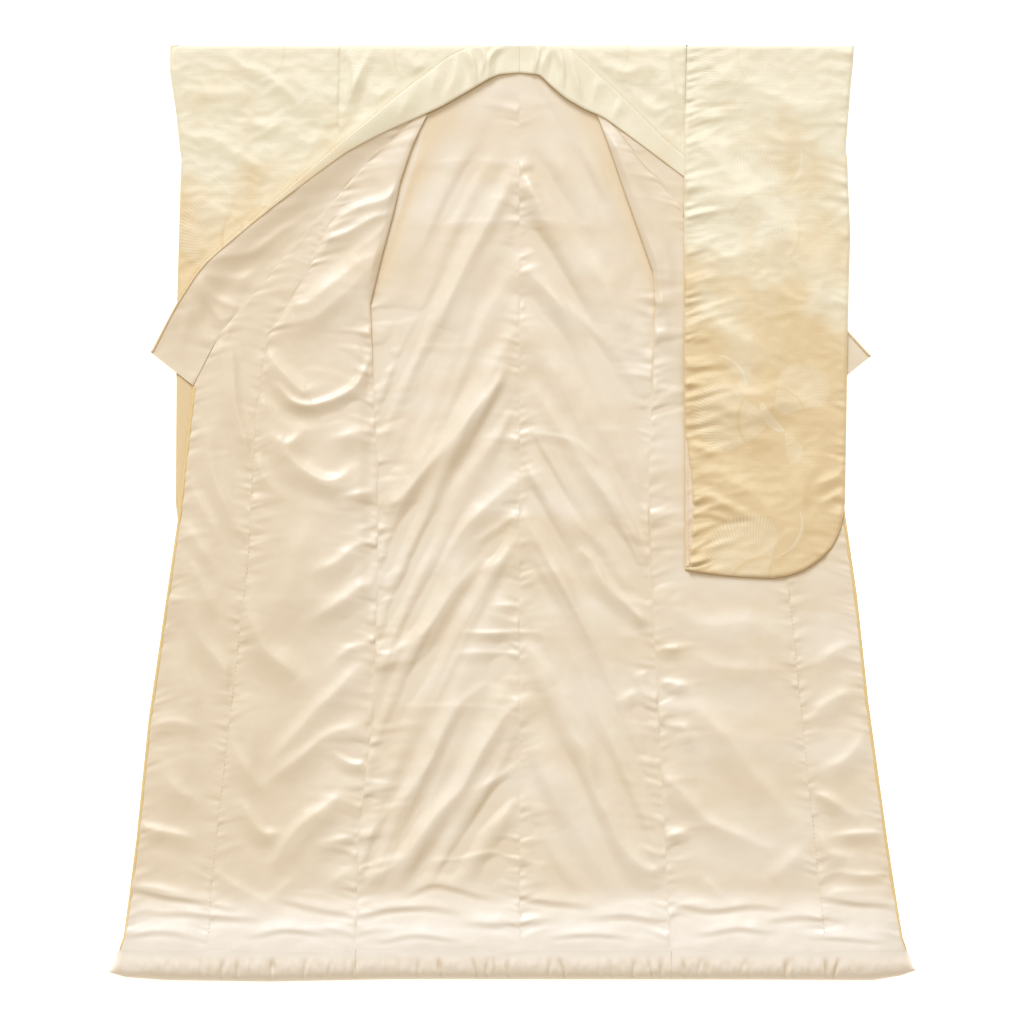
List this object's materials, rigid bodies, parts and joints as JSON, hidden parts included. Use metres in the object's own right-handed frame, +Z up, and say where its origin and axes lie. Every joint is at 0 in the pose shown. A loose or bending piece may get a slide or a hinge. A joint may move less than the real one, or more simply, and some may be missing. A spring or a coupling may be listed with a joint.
{
  "type": "uchikake wedding kimono laid open flat",
  "caption": "Padded-hem wedding over-kimono laid open on its back, lining up, with turned-out fronts, folded collar and long hanging sleeves.",
  "frame": {"origin": "middle of the garment's footprint, on the surface that it lies on", "axes": "+Y from the padded hem to the shoulder line, +X to the right as seen from above, +Z up"},
  "size_m": [1.601, 1.854, 0.026],
  "materials": {
    "brocade": "cream-gold silk brocade with tone-on-tone woven figures",
    "lining_satin": "ivory satin lining with soft sheen",
    "padded_hem": "ivory satin over cotton padding"
  },
  "bodies": {
    "root": {"back_outer_left": "brocade", "back_outer_right": "brocade", "front_outer_left": "brocade", "front_outer_right": "brocade", "overlap_outer_left": "brocade", "overlap_outer_right": "brocade", "shoulder_front_left": "brocade", "shoulder_front_right": "brocade", "sleeve_left_back": "brocade", "sleeve_left_front": "brocade", "sleeve_right_back": "brocade", "sleeve_right_front": "brocade", "sleeve_right_lining": "lining_satin", "collar_left": "brocade", "collar_right": "brocade", "collar_lining_left": "lining_satin", "collar_lining_right": "lining_satin", "back_lining_left": "lining_satin", "back_lining_right": "lining_satin", "front_lining_left": "lining_satin", "front_lining_right": "lining_satin", "overlap_lining_left": "lining_satin", "overlap_lining_right": "lining_satin", "hem_roll_left": "padded_hem", "hem_roll_back": "padded_hem", "hem_roll_right": "padded_hem"}
  },
  "joints": []
}
